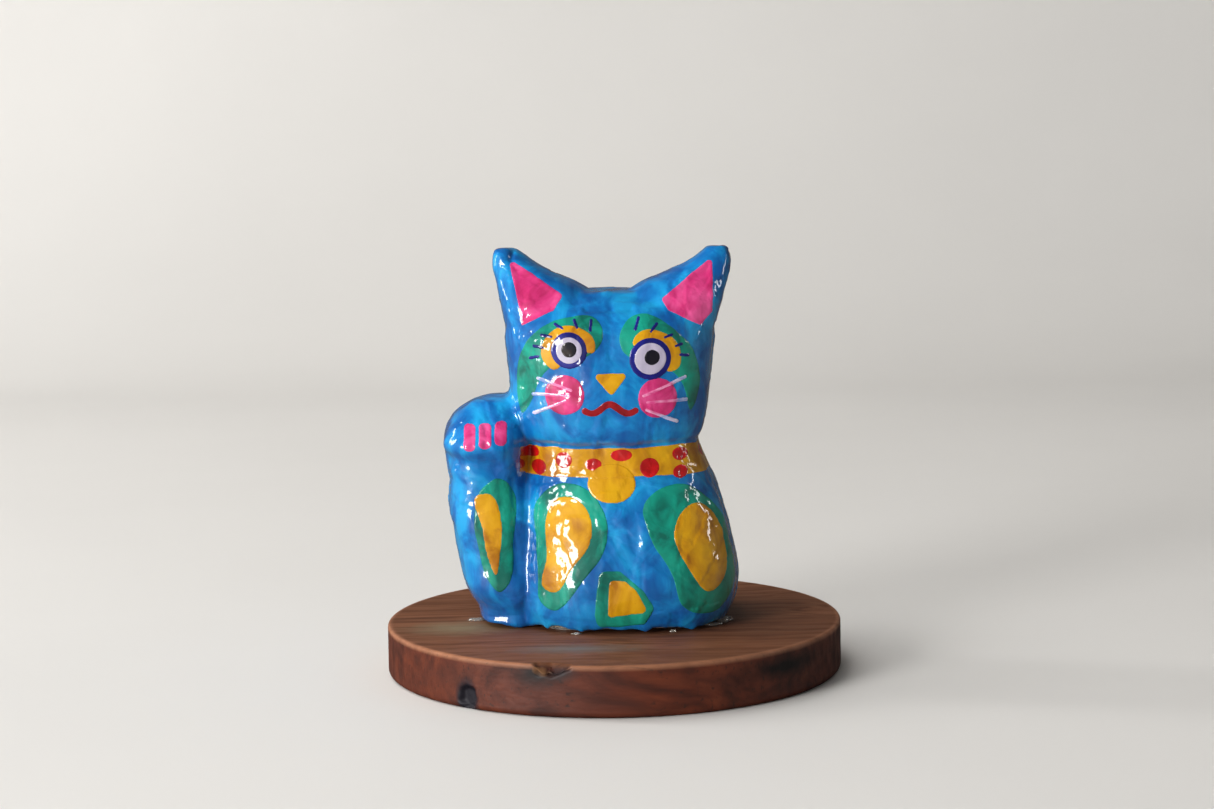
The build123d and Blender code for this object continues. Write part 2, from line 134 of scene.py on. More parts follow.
def cut_edges(data, sides):
    """The two ends of each edge, listed once, and the number of the new point on each side's edge."""
    edges = np.concatenate(sides)
    edges.sort(axis=1)
    keys = edges[:, 0].astype(np.int64) * len(data) + edges[:, 1]
    keys, index = np.unique(keys, return_inverse=True)
    return keys // len(data), keys % len(data), index.ravel() + len(data)


def directed_edges(triangles, count):
    """The three sides of each triangle in its own direction, and whether no other one runs back."""
    sides = np.concatenate([triangles[:, [0, 1]], triangles[:, [1, 2]], triangles[:, [2, 0]]])
    there = sides[:, 0].astype(np.int64) * count + sides[:, 1]
    back = sides[:, 1].astype(np.int64) * count + sides[:, 0]
    return sides, ~np.isin(there, back)


CUT_SHARES = (0.03, 0.97)        # a cut stays this far along an edge, so that no sliver is left


def clipped(data, triangles, field):
    """The part of a surface where field is above zero, cut along its zero line."""
    inside = field > 0
    count = inside[triangles].sum(1)
    kept = [triangles[count == 3]]
    partly = (count == 1) | (count == 2)
    cut = triangles[partly]
    alone = count[partly] == 1                          # one corner inside, rather than one outside
    first = (inside[cut] == alone[:, None]).argmax(1)   # the corner that differs from the other two
    rows = np.arange(len(cut))
    a, b, c = cut[rows, first], cut[rows, (first + 1) % 3], cut[rows, (first + 2) % 3]
    start, end, index = cut_edges(data, [np.stack([a, b], 1), np.stack([a, c], 1)])
    share = np.clip(field[start] / (field[start] - field[end]), *CUT_SHARES)[:, None]
    fresh = data[start] * (1 - share) + data[end] * share
    ab, ac = np.split(index, 2)
    kept.append(np.stack([a, ab, ac], 1)[alone])
    kept.append(np.stack([ab, b, c], 1)[~alone])
    kept.append(np.stack([ab, c, ac], 1)[~alone])
    return compacted(np.concatenate([data, fresh]), np.concatenate(kept))


def subdivided(data, triangles):
    """Each triangle cut into four, flat."""
    sides = [triangles[:, [0, 1]], triangles[:, [1, 2]], triangles[:, [2, 0]]]
    start, end, index = cut_edges(data, sides)
    fresh = (data[start] + data[end]) / 2
    ab, bc, ca = np.split(index, 3)
    a, b, c = triangles.T
    parts = [(a, ab, ca), (ab, b, bc), (ca, bc, c), (ab, bc, ca)]
    return np.concatenate([data, fresh]), np.concatenate([np.stack(p, 1) for p in parts])


def closed_sheet(outer, inner, triangles):
    """A closed solid between two copies of one open surface."""
    count = len(outer)
    sides, open_sides = directed_edges(triangles, count)
    a, b = sides[open_sides].T
    walls = [np.stack([b, a, a + count], 1), np.stack([b, a + count, b + count], 1)]
    faces = [triangles, triangles[:, ::-1] + count, *walls]
    return np.concatenate([outer, inner]), np.concatenate(faces)


def nearest(tree, points):
    """The nearest point of a tree to each point, and how far off it is."""
    found = [tree.find_nearest(point) for point in points.tolist()]
    return np.array([hit[0][:] for hit in found]), np.array([hit[3] for hit in found])


def tree_of(points, triangles):
    return BVHTree.FromPolygons(points.tolist(), triangles.tolist())


# ---------------------------------------------------------------- the outer form
VOXEL = 0.4
BAND = 4                         # cells on each side of the skins in which distances are exact
MARGIN = BAND + 3                # empty cells round the whole figure
ROUNDING = 4                     # passes of blur, which round the creases where two skins meet
BRIDGE = 4                       # cells on each side over which pasted paper bridges a crease
BRIDGE_PASSES = 3
BRIDGE_SLACK = 0.22              # how far the bridging surface is held back
COLLAR_MIDDLE = sum(corner[2] for corner in box_mm("collar")) / 2
COLLAR_SLACK, COLLAR_REACH = 0.6, 4.5    # creases are bridged less within this height of the collar


def reached_from_edges(free):
    """The free cells of each horizontal slice that the slice's edge can reach."""
    reached = np.zeros_like(free)
    reached[0], reached[-1], reached[:, 0], reached[:, -1] = True, True, True, True
    count = -1
    while count != reached.sum():
        count = reached.sum()
        for axis in (0, 1):
            cells, walk = np.moveaxis(free, axis, 0), np.moveaxis(reached, axis, 0)
            for i in range(1, len(walk)):
                walk[i] |= walk[i - 1] & cells[i]
            for i in range(len(walk) - 2, -1, -1):
                walk[i] |= walk[i + 1] & cells[i]
    return reached


def outer_form():
    """The outside of all the skins together, as one smooth closed surface."""
    points, triangles = joined([cad_mesh(node) for node in SKIN_NODES])
    transform = openvdb.createLinearTransform(voxelSize=VOXEL)
    grid = openvdb.FloatGrid.createLevelSetFromPolygons(
        points.astype(np.float32), triangles=triangles.astype(np.uint32), transform=transform,
        halfWidth=BAND,
    )
    low = np.floor(points.min(0) / VOXEL).astype(int) - MARGIN
    high = np.ceil(points.max(0) / VOXEL).astype(int) + MARGIN
    corner = tuple(int(i) for i in low)
    values = np.full(tuple(high - low + 1), grid.background, np.float32)
    grid.copyToArray(values, ijk=corner)
    free = values > 0
    values[free & ~reached_from_edges(free)] = -BAND * VOXEL
    wide, steps = values, range(-BRIDGE, BRIDGE + 1)
    for _ in range(BRIDGE_PASSES):
        for axis in range(3):
            wide = sum(np.roll(wide, step, axis) for step in steps) / len(steps)
    above_collar = (np.arange(values.shape[2]) + corner[2]) * VOXEL - COLLAR_MIDDLE
    at_collar = np.exp(-((above_collar / COLLAR_REACH) ** 2))
    values = np.minimum(values, wide + BRIDGE_SLACK + COLLAR_SLACK * at_collar)
    for _ in range(ROUNDING):
        for axis in range(3):
            values = (np.roll(values, 1, axis) + 2 * values + np.roll(values, -1, axis)) / 4
    smooth = openvdb.FloatGrid(BAND * VOXEL)
    smooth.transform = transform
    smooth.copyFromArray(values.astype(np.float32), ijk=corner)
    points, quads = smooth.convertToQuads(0.0)
    quads = quads.astype(np.int64)
    triangles = np.concatenate([quads[:, [0, 1, 2]], quads[:, [0, 2, 3]]])
    corners = points[triangles].astype(float)
    if np.einsum("ij,ij->", corners[:, 0], np.cross(corners[:, 1], corners[:, 2])) < 0:
        triangles = triangles[:, ::-1]
    return points.astype(float), triangles


# ---------------------------------------------------------------- sculpting, as heights on the outer form
SEED_STEP = (17.3, 5.1, 9.7)     # how far apart two seeds read the same noise


def lumps(points, size, seed):
    """Smooth noise from -1 to 1, with bumps of about the given size."""
    shift = Vector([seed * step for step in SEED_STEP])
    return np.array([noise.noise(Vector(p) / size + shift) for p in points.tolist()])


STRIP_COUNT = 150
STRIP_HALF_LENGTH, STRIP_HALF_WIDTH, STRIP_THICKNESS = (6.0, 12.0), (2.6, 5.2), (0.07, 0.16)
STRIP_EDGE = 0.35                # a strip steps down over this much on each side of its outline
STRIP_REACH = 6.0                # a strip can't wrap onto what lies further under or over it


def paper_strips(points, normals):
    """Torn strips of newspaper pasted over one another, each a little proud of what it lies on."""
    height = np.zeros(len(points))
    ragged = 0.5 * lumps(points, 1.6, 4)
    for _ in range(STRIP_COUNT):
        index = chance.randrange(len(points))
        middle, normal = points[index], normals[index]
        lean = Vector((chance.gauss(0, 1), chance.gauss(0, 1), chance.gauss(0, 1.6)))
        along = unit(np.cross(normal, np.cross(np.array(lean), normal))[None])[0]
        across = np.cross(normal, along)
        half_long, half_wide = chance.uniform(*STRIP_HALF_LENGTH), chance.uniform(*STRIP_HALF_WIDTH)
        thick = chance.uniform(*STRIP_THICKNESS)
        away = points - middle
        edge = np.maximum(np.abs(away @ along) - half_long, np.abs(away @ across) - half_wide) + ragged
        same_side = (np.abs(away @ normal) < STRIP_REACH) & (normals @ normal > 0.2)
        height += thick * smoothstep(STRIP_EDGE, -STRIP_EDGE, edge) * same_side
    return height


def segment_distance(across, high, start, end):
    """How far places seen from the front are from a straight line between two points."""
    x0, z0, x1, z1 = start[0], start[2], end[0], end[2]
    length = max((x1 - x0) ** 2 + (z1 - z0) ** 2, TINY)
    t = np.clip(((across - x0) * (x1 - x0) + (high - z0) * (z1 - z0)) / length, 0, 1)
    return np.hypot(across - x0 - t * (x1 - x0), high - z0 - t * (z1 - z0))


# creases and swellings of the front: node, start and end in shares of its box, width, height
FRONT_FORMS = (
    ("head_skin", (0.39, 0, 0.897), (0.60, 0, 0.902), 0.7, -0.40),       # crease between the ears
    ("head_skin", (0.05, 0, 0.000), (0.95, 0, 0.000), 0.8, -0.22),       # under the chin
    ("head_skin", (0.05, 0, 0.060), (0.95, 0, 0.060), 1.6, 0.12),        # the chin's rolled edge
    ("head_skin", (0.42, 0, 0.300), (0.58, 0, 0.300), 4.6, 0.65),        # muzzle
    ("head_skin", (0.20, 0, 0.700), (0.42, 0, 0.720), 3.0, 0.30),        # left brow
    ("head_skin", (0.60, 0, 0.700), (0.80, 0, 0.660), 3.0, 0.30),        # right brow
    ("raised_arm_skin", (0.10, 0, 0.735), (0.62, 0, 0.705), 1.7, -0.95),  # under the paw
    ("raised_arm_skin", (0.08, 0, 0.800), (0.66, 0, 0.785), 1.6, 0.45),  # the paw's lower lip
    ("raised_arm_skin", (0.365, 0, 0.80), (0.365, 0, 0.90), 0.7, -0.22),  # between the claws
    ("raised_arm_skin", (0.515, 0, 0.80), (0.515, 0, 0.90), 0.7, -0.22),
    ("raised_arm_skin", (0.81, 0, 0.65), (0.85, 0, 0.24), 0.9, -0.40),   # between arm and body
    ("raised_arm_skin", (0.86, 0, 0.02), (0.84, 0, 0.16), 2.4, 0.70),     # the body closes under the arm
    ("left_ear_skin", (0.10, 0, 0.93), (0.13, 0, 0.96), 1.5, 0.55),      # the left ear's knob
    ("left_ear_skin", (0.21, 0, 0.88), (0.23, 0, 0.98), 0.5, -0.50),     # crease beside the knob
)


LUMPS = ((0.34, 8.5, 1), (0.15, 3.6, 2), (0.04, 1.3, 3))    # height, size and seed
STRIPS_SUNK = 0.12               # the mean height of the strips, taken off again
EAR_DEPTH = 0.45                 # how far the pink of the ears is hollowed


def sculpted_heights(points, normals, ear_hollow):
    """How far each point of the outer form is pushed out along its normal."""
    height = sum(tall * lumps(points, size, seed) for tall, size, seed in LUMPS)
    height += paper_strips(points, normals) - STRIPS_SUNK
    front = smoothstep(0.1, -0.35, normals[:, 1])
    for node, start, end, width, amount in FRONT_FORMS:
        away = segment_distance(points[:, 0], points[:, 2], place(node, *start), place(node, *end))
        height += amount * np.exp(-(away / width) ** 2) * front
    height -= EAR_DEPTH * smoothstep(-0.5, 1.6, ear_hollow)
    return height


DROPS = (-2.35, -1.94, -1.22, -0.78, -0.35, 0.60, 1.70, 2.60)   # directions of the drops, in radians
DROP_LENGTH, DROP_SPREAD = 0.50, 0.0016      # in millimetres, and in radians squared
WAVES = ((0.14, 11, 1.0), (0.10, 23, 2.0))   # height, number round the foot and phase


def hanging_edge(points, foot):
    """Drops and waves of dried varnish along the foot, as a change of height above the wood."""
    turn = np.arctan2(points[:, 1], points[:, 0])
    fade = smoothstep(foot + 1.6, foot + 0.1, points[:, 2])
    wave = sum(tall * np.sin(turn * number + phase) for tall, number, phase in WAVES)
    away = [(turn - where + math.pi) % (2 * math.pi) - math.pi for where in DROPS]
    drops = sum(DROP_LENGTH * np.exp(-side ** 2 / DROP_SPREAD) for side in away)
    return (wave - drops) * fade


# ---------------------------------------------------------------- where each coat of paint lies
SLIVER = 0.2                     # a face with less area per length of outline than this, in mm, is an edge
ON_OUTLINE = 1e-4                # closer than this to a film's outline, in mm squared, counts as outside


def edge_faces(points, triangles):
    """The narrow faces round a film's rim, told from its two broad faces by how thin they are."""
    label = np.arange(len(points))
    while True:
        lowest = label[triangles].min(1)
        fresh = label.copy()
        for corner in range(3):
            np.minimum.at(fresh, triangles[:, corner], lowest)
        fresh = fresh[fresh]
        if (fresh == label).all():
            break
        label = fresh
    group = label[triangles[:, 0]]
    corners = points[triangles]
    cross = np.cross(corners[:, 1] - corners[:, 0], corners[:, 2] - corners[:, 0])
    size = len(points)
    sides, rim = directed_edges(triangles, size)
    length = np.linalg.norm(points[sides[:, 0]] - points[sides[:, 1]], axis=1) * rim
    areas = np.bincount(group, weights=np.linalg.norm(cross, axis=1) / 2, minlength=size)
    lengths = np.bincount(np.tile(group, 3), weights=length, minlength=size)
    thin = areas < SLIVER * np.maximum(lengths, TINY)
    return triangles[thin[group]]


class Film:
    """A coat of paint from the CAD, and how far inside its outline a point is."""

    def __init__(self, node):
        self.points, self.triangles = cad_mesh(node)
        self.low, self.high = self.points.min(0), self.points.max(0)
        self.whole = tree_of(self.points, self.triangles)
        self.rim = tree_of(self.points, edge_faces(self.points, self.triangles))

    def inside(self, points):
        """Distance to the film's outline: above zero inside it, below zero outside it."""
        _, to_rim = nearest(self.rim, points)
        _, to_film = nearest(self.whole, points)
        depth = to_rim ** 2 - to_film ** 2
        return np.where(depth > ON_OUTLINE, np.sqrt(np.maximum(depth, 0)), -to_rim)

    def near(self, points, reach):
        return ((points > self.low - reach) & (points < self.high + reach)).all(1)


# ---------------------------------------------------------------- objects
def add_object(name, points, faces):
    mesh = bpy.data.meshes.new(name)
    mesh.from_pydata((points * MM).tolist(), [], faces if isinstance(faces, list) else faces.tolist())
    mesh.polygons.foreach_set("use_smooth", [True] * len(mesh.polygons))
    mesh.update()
    thing = bpy.data.objects.new(name, mesh)
    bpy.context.scene.collection.objects.link(thing)
    return thing


def finished(thing, slot, material, *nodes):
    """Rides a piece on the root, gives it its material and hides the CAD nodes it stands for."""
    thing.data.materials.append(material)
    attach(thing, "root")
    if nodes:
        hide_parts(*nodes)
    return thing


def shade_like(thing, normals):
    """Gives a piece's vertices the normals of the whole sheet, so that the cuts don't show."""
    thing.data.normals_split_custom_set_from_vertices(normals.tolist())


# ---------------------------------------------------------------- the paper skins
NECK_HEIGHT = box_mm("head_skin")[0][2]
FOOT_HEIGHT = box_mm("floor_card")[0][2]
SHEET = 1.1                      # how deep the visible paper goes below its surface
FILM_BITE = 0.05                 # how far a coat of paint reaches into the paper
COAT_PROUD, COAT_STEP = 0.05, 0.035      # the first coat's height, and how much each next one adds
COAT_EDGE, COAT_EDGE_STEP = 0.01, 0.015  # the same for a coat's edge
COAT_SOFT_EDGE = (-0.1, 0.35)    # over which the edge rises to the coat's height
COAT_REACH = 1.5                 # how far round a film's box its faces are sought
COAT_SPARE = 1.2                 # how far outside a film's outline faces are kept until it is cut
BRUSH_WOBBLE, BRUSH_SIZE = 0.08, 1.7     # how far a brushed outline strays, and over what length
WANDER_BIG, WANDER_SMALL, WANDER_SIZE = 0.30, 0.08, 5.0    # the same on a larger scale, by film size
FINE_LIMIT = 16000               # films with fewer faces than this are cut out on a finer mesh
EAR_REACH, FAR_OUTSIDE = 3.0, -9.0       # where the distance to the ears' pink is worked out, and elsewhere
FOOT_GAP = 0.15                  # the paper ends this far above the floor card's foot
# columns of the surface's data, which clipping carries along
CAD, SHAPED, CAD_NORMAL, SHAPED_NORMAL = slice(0, 3), slice(3, 6), slice(6, 9), slice(9, 12)


def owner_fields(points):
    """For each skin, how much nearer a point is to it than to any other skin, in millimetres."""
    away = {node: nearest(tree_of(*cad_mesh(node)), points)[1] for node in SKIN_NODES}
    fields = {}
    for node in SKIN_NODES:
        others = np.min([away[other] for other in SKIN_NODES if other != node], axis=0)
        fields[node] = others - away[node]
    above = points[:, 2] - NECK_HEIGHT
    trunk = np.minimum(-fields["raised_arm_skin"], -fields["tail_skin"])
    ears = np.minimum(-fields["left_ear_skin"], -fields["right_ear_skin"])
    fields["torso_skin"] = np.minimum(-above, trunk)
    fields["head_skin"] = np.minimum(np.minimum(above, ears), -fields["raised_arm_skin"])
    return fields


source, sheet = outer_form()
smooth_normals = vertex_normals(source, sheet)
films = {node: Film(node) for node in COATS}
ear_hollow = np.full(len(source), FAR_OUTSIDE)
close = films["ear_pinks"].near(source, EAR_REACH) & (smooth_normals[:, 1] < 0)
ear_hollow[close] = films["ear_pinks"].inside(source[close])
height = sculpted_heights(source, smooth_normals, ear_hollow)
shaped = source + smooth_normals * height[:, None]
shaped[:, 2] += hanging_edge(source, FOOT_HEIGHT)
shaped_normals = vertex_normals(shaped, sheet)
fields = owner_fields(source)
surface = np.concatenate([source, shaped, smooth_normals, shaped_normals], axis=1)
foot_cut = source[:, 2] - (FOOT_HEIGHT + FOOT_GAP)

varnished = {}
for node in SKIN_NODES:
    data, triangles = clipped(surface, sheet, np.minimum(fields[node], foot_cut))
    inner = data[:, CAD] - data[:, CAD_NORMAL] * SHEET
    skin = add_object(node.replace("_skin", "_paper"), *closed_sheet(data[:, SHAPED], inner, triangles))
    shade_like(skin, np.concatenate([data[:, SHAPED_NORMAL], -data[:, CAD_NORMAL]]))
    varnished[node] = skin


def film_piece(node, number):
    """A coat of paint, raised a little from the paper with a soft edge."""
    film = films[node]
    chosen = film.near(source, COAT_REACH)
    near_faces = sheet[chosen[sheet].all(1)]
    data, triangles = compacted(surface, near_faces)
    distance = film.inside(data[:, CAD])
    triangles = triangles[(distance[triangles] > -COAT_SPARE).any(1)]
    data, triangles = compacted(data, triangles)
    if len(triangles) < FINE_LIMIT:
        data, triangles = subdivided(data, triangles)
    distance = film.inside(data[:, CAD])
    wander = WANDER_BIG if len(near_faces) > FINE_LIMIT else WANDER_SMALL
    wobble = BRUSH_WOBBLE * lumps(data[:, CAD], BRUSH_SIZE, 5 + number)
    wobble = wobble + wander * lumps(data[:, CAD], WANDER_SIZE, 8 + number)
    data, triangles = clipped(np.column_stack([data, distance]), triangles, distance + wobble)
    swell = smoothstep(*COAT_SOFT_EDGE, data[:, -1])
    rise = (COAT_PROUD + COAT_STEP * number) * swell + COAT_EDGE_STEP * number + COAT_EDGE
    outer = data[:, SHAPED] + data[:, SHAPED_NORMAL] * rise[:, None]
    inner = data[:, SHAPED] - data[:, SHAPED_NORMAL] * FILM_BITE
    return add_object(node + "_coat", *closed_sheet(outer, inner, triangles))


film_pieces = {node: film_piece(node, number) for node, number in COATS.items()}


# ---------------------------------------------------------------- the coaster
def pit(points, middle, squash, far, near, ragged):
    """A ragged hollow about a place: 1 within near, 0 beyond far. Its edge strays by ragged lumps."""
    tall, size, seed = ragged
    reach = np.linalg.norm((points - np.array(middle)) * np.array(squash), axis=1)
    return smoothstep(far, near, reach + tall * lumps(points, size, seed))


def quarter_turn(steps):
    """Sines and cosines from 0 to a right angle."""
    return [(math.sin(math.pi / 2 * i / steps), math.cos(math.pi / 2 * i / steps)) for i in range(steps + 1)]


def coaster_outline(radius, thick):
    """The coaster's profile from near its middle on top, over the rim, to its sole."""
    rings, rim_steps, arc_steps = 90, 44, 6
    crowding = 0.85              # below 1, the rings on top lie closer together towards the rim
    top_round, foot_round = 0.7, 1.3
    side = thick - top_round - foot_round
    profile = [((i / rings) ** crowding * radius, thick) for i in range(rings)]
    profile = [(r * (radius - top_round) / radius, z) for r, z in profile]
    for sine, cosine in quarter_turn(arc_steps):
        profile.append((radius - top_round * (1 - sine), thick - top_round * (1 - cosine)))
    profile += [(radius, thick - top_round - side * (i + 1) / (rim_steps + 1)) for i in range(rim_steps)]
    for sine, cosine in quarter_turn(arc_steps):
        profile.append((radius - foot_round * (1 - cosine), foot_round * (1 - sine)))
    profile += [(radius * 0.8, 0.0), (radius * 0.4, 0.0)]
    return np.array(profile[1:])


def coaster_wood():
    """A turned slice of wood, with worn edges, open grain, a chipped knot and a pocket of bark."""
    low, high = box_mm("wooden_coaster")
    radius, thick = (high[0] - low[0]) / 2, high[2] - low[2]
    around = 900
    grain_depth, inset, out_of_round = 0.045, 0.05, 0.10
    turns = np.arange(around) * 2 * math.pi / around
    r, z = coaster_outline(radius, thick).T
    points = np.stack([
        np.outer(r, np.cos(turns)), np.outer(r, np.sin(turns)), np.outer(z, np.ones(around))
    ], axis=2).reshape(-1, 3)
    out = np.stack([np.cos(turns), np.sin(turns), np.zeros(around)], 1)
    out = np.tile(out, (len(r), 1))
    on_top = smoothstep(thick - 0.8, thick - 0.1, points[:, 2])
    normal = unit(out * (1 - on_top[:, None]) + np.array((0, 0, 1.0)) * on_top[:, None])
    grain = lumps(points * np.array((0.10, 1.0, 0.55)), 1.1, 21)
    grain = grain * 0.5 + 0.5 * lumps(points * np.array((0.06, 1.0, 0.8)), 0.45, 22)
    free = points[:, 2] > 0.3                       # the sole stays flat
    push = (grain_depth * grain - inset + out_of_round * lumps(points, 14.0, 23) * (1 - on_top)) * free
    # the chipped knot at the front of the top edge
    knot = pit(points, (-14.0, -radius + 1.3, thick), (0.62, 1.0, 1.0), 3.0, 1.2, (0.9, 2.2, 24))
    push -= 1.7 * knot * (1 + 0.25 * lumps(points, 0.9, 25))
    # the pocket of bark low on the rim
    push -= 1.1 * pit(points, (-30.5, -39.6, 2.6), (1.0, 1.0, 0.75), 2.6, 1.3, (0.8, 1.8, 26)) * free
    points = points + normal * push[:, None]
    points[:, 2] = np.maximum(points[:, 2], 0.0)
    ring = np.arange(around)
    ahead = (ring + 1) % around
    faces = []
    for level in range(len(r) - 1):
        here, below = level * around, (level + 1) * around
        faces.append(np.stack([here + ring, below + ring, below + ahead, here + ahead], 1))
    faces = np.concatenate(faces).tolist()
    crown, sole = len(points), len(points) + 1
    points = np.concatenate([points, [[0, 0, thick - inset], [0, 0, 0]]])
    last = (len(r) - 1) * around
    faces += [[crown, i, (i + 1) % around] for i in range(around)]
    faces += [[sole, last + (i + 1) % around, last + i] for i in range(around)]
    return add_object("coaster_wood", points, faces)


# ---------------------------------------------------------------- glue that squeezed out
def glue_bead(middle, size, seed):
    """One lump of set clear glue, drawn out into a ragged flake."""
    rings, around = 9, 14
    points, faces = [], []
    for i in range(1, rings):
        lean = math.pi * i / rings
        for j in range(around):
            turn = 2 * math.pi * j / around
            points.append((math.sin(lean) * math.cos(turn), math.sin(lean) * math.sin(turn), math.cos(lean)))
    points = np.array(points + [(0, 0, 1), (0, 0, -1)])
    big, small = lumps(points * 2.0 + seed * 3.7, 1.1, 31), lumps(points * 5 + seed, 1.0, 32)
    points = points * (1 + 0.45 * big + 0.2 * small)[:, None] * np.array(size) + np.array(middle)
    for i in range(rings - 2):
        for j in range(around):
            a, b = i * around + j, i * around + (j + 1) % around
            faces.append((a, a + around, b + around, b))
    top, bottom, last = len(points) - 2, len(points) - 1, (rings - 2) * around
    faces += [(top, j, (j + 1) % around) for j in range(around)]
    faces += [(bottom, last + (j + 1) % around, last + j) for j in range(around)]
    return points, faces


# the place of each bead on the wood, and its half sizes
GLUE_BEADS = (
    ((21.6, -10.6), (1.9, 1.1, 0.55)), ((23.6, -8.2), (1.3, 0.8, 0.9)), ((25.2, -5.6), (1.0, 1.5, 0.5)),
    ((22.8, -9.8), (0.7, 0.6, 1.1)), ((24.6, -7.6), (0.5, 0.5, 1.0)),
    ((-30.2, -1.8), (1.8, 0.9, 0.35)), ((-8.2, -18.6), (1.0, 0.6, 0.3)), ((12.6, -17.2), (0.7, 0.5, 0.3)),
)
BEAD_LIFT = 0.35                 # how high a bead's middle lies, as a share of its half height


def glue_squeeze():
    """Beads along the foot where glue ran out: most on the right, a flake on the left, two in front."""
    wood_top = box_mm("wooden_coaster")[1][2]
    points, faces, start = [], [], 0
    for seed, ((x, y), size) in enumerate(GLUE_BEADS):
        bead, bead_faces = glue_bead((x, y, wood_top + size[2] * BEAD_LIFT), size, seed)
        points.append(bead)
        faces += [[i + start for i in face] for face in bead_faces]
        start += len(bead)
    return add_object("glue_squeeze_out", np.concatenate(points), faces)


# ---------------------------------------------------------------- materials
def colour(red, green, blue):
    """An sRGB colour of 0 to 255, as the linear value that a node holds."""
    def linear(value):
        value /= 255
        return value / 12.92 if value <= 0.04045 else ((value + 0.055) / 1.055) ** 2.4
    return (linear(red), linear(green), linear(blue), 1.0)


class Nodes:
    """A material's node tree, with a short way to add and join nodes."""

    def __init__(self, name):
        self.material = bpy.data.materials.new(name)
        self.material.use_nodes = True
        self.tree = self.material.node_tree
        self.shader = self.tree.nodes["Principled BSDF"]
        self.where = self.add("ShaderNodeTexCoord").outputs["Object"]

    def add(self, kind, **settings):
        node = self.tree.nodes.new(kind)
        for key, value in settings.items():
            setattr(node, key, value)
        return node

    def join(self, source, target):
        self.tree.links.new(source, target)

    def feed(self, socket, value):
        """Sets a socket to a value, or joins another socket to it."""
        if isinstance(value, (int, float, tuple)):
            socket.default_value = value
        else:
            self.join(value, socket)

    def scaled(self, x, y, z, turn=(0, 0, 0)):
        node = self.add("ShaderNodeMapping")
        node.inputs["Scale"].default_value = (x, y, z)
        node.inputs["Rotation"].default_value = turn
        self.join(self.where, node.inputs["Vector"])
        return node.outputs["Vector"]

    def noise(self, vector, detail=4.0, rough=0.55, distortion=0.0):
        node = self.add("ShaderNodeTexNoise")
        self.join(vector, node.inputs["Vector"])
        settings = {"Scale": 1.0, "Detail": detail, "Roughness": rough, "Distortion": distortion}
        for key, value in settings.items():
            node.inputs[key].default_value = value
        return node.outputs["Fac"]

    def ramp(self, value, *stops):
        node = self.add("ShaderNodeValToRGB")
        elements = node.color_ramp.elements
        while len(elements) < len(stops):
            elements.new(0.5)
        for element, (where, tone) in zip(elements, stops):
            element.position = where
            element.color = tone if not isinstance(tone, float) else (tone, tone, tone, 1.0)
        self.join(value, node.inputs["Fac"])
        return node.outputs["Color"]

    def mix(self, share, first, second):
        node = self.add("ShaderNodeMix", data_type="RGBA")
        self.feed(node.inputs["Factor"], share)
        for name, value in (("A", first), ("B", second)):
            self.feed(node.inputs[name], value)
        return [o for o in node.outputs if o.type == "RGBA"][0]

    def maths(self, operation, first, second=0.0):
        node = self.add("ShaderNodeMath", operation=operation)
        for socket, value in zip(node.inputs, (first, second)):
            self.feed(socket, value)
        return node.outputs[0]

    def vector(self, operation, first, second=(0, 0, 0)):
        node = self.add("ShaderNodeVectorMath", operation=operation)
        for socket, value in zip(node.inputs, (first, second)):
            self.feed(socket, value)
        return node.outputs["Value" if operation == "LENGTH" else "Vector"]

    def bump(self, height, distance, strength=1.0, under=None):
        node = self.add("ShaderNodeBump")
        node.inputs["Strength"].default_value = strength
        node.inputs["Distance"].default_value = distance
        self.join(height, node.inputs["Height"])
        if under is not None:
            self.join(under, node.inputs["Normal"])
        return node.outputs["Normal"]

    def spot(self, middle, stretch, near, far, ragged, tone, body):
        """A ragged patch of another colour about a place: whole within near, gone beyond far (mm)."""
        away = self.vector("SUBTRACT", self.where, tuple(value * MM for value in middle))
        away = self.vector("MULTIPLY", away, tuple(value / MM for value in stretch))
        wave = self.maths("MULTIPLY", self.noise(self.scaled(350, 350, 350), detail=3), ragged)
        reach = self.maths("DIVIDE", self.maths("ADD", self.vector("LENGTH", away), wave), far)
        return self.mix(self.ramp(reach, (near / far, 1.0), (1.0, 0.0)), body, tone)

    def set(self, **values):
        for key, value in values.items():
            self.feed(self.shader.inputs[key.replace("_", " ")], value)


# matt paint under a clear, glossy coat
VARNISHED = {
    "Roughness": 0.5, "Specular_IOR_Level": 0.2,
    "Coat_Weight": 1.0, "Coat_Roughness": 0.035, "Coat_IOR": 1.5,
}


def painted(name, base, shade, light, patchy, streaky):
    """Brushed paint on pasted paper, under thick clear varnish."""
    n = Nodes(name)
    clouds = n.noise(n.scaled(130, 130, 100), detail=4, rough=0.55, distortion=0.8)
    soft = 0.10 * (1 - patchy)
    body = n.ramp(clouds, (0.40 - soft, shade), (0.50, base), (0.62 + soft, light))
    brush = n.noise(n.scaled(620, 620, 170, (0.6, 0.9, 0.5)), detail=3, rough=0.5)
    streak = n.ramp(brush, (0.38, 0.0), (0.62, 1.0))
    body = n.mix(n.maths("MULTIPLY", streak, 0.16 * streaky), body, light)
    sweep = n.noise(n.scaled(260, 260, 120, (-0.7, 0.5, 0.3)), detail=3, rough=0.5)
    body = n.mix(n.maths("MULTIPLY", n.ramp(sweep, (0.48, 0.0), (0.70, 1.0)), 0.40 * streaky), body, shade)
    specks = n.noise(n.scaled(1600, 1600, 1600), detail=2)
    body = n.mix(n.ramp(specks, (0.72, 0.0), (0.80, 0.6)), body, shade)
    fibre = n.noise(n.scaled(700, 700, 700), detail=4, rough=0.6)
    varnish = n.noise(n.scaled(330, 330, 330), detail=2, rough=0.4)
    under = n.bump(fibre, 0.00005, 0.6)
    over = n.bump(varnish, 0.00012, 0.75, n.bump(fibre, 0.00002, 0.6))
    n.set(Base_Color=body, Normal=under, Coat_Normal=over, **VARNISHED)
    return n.material


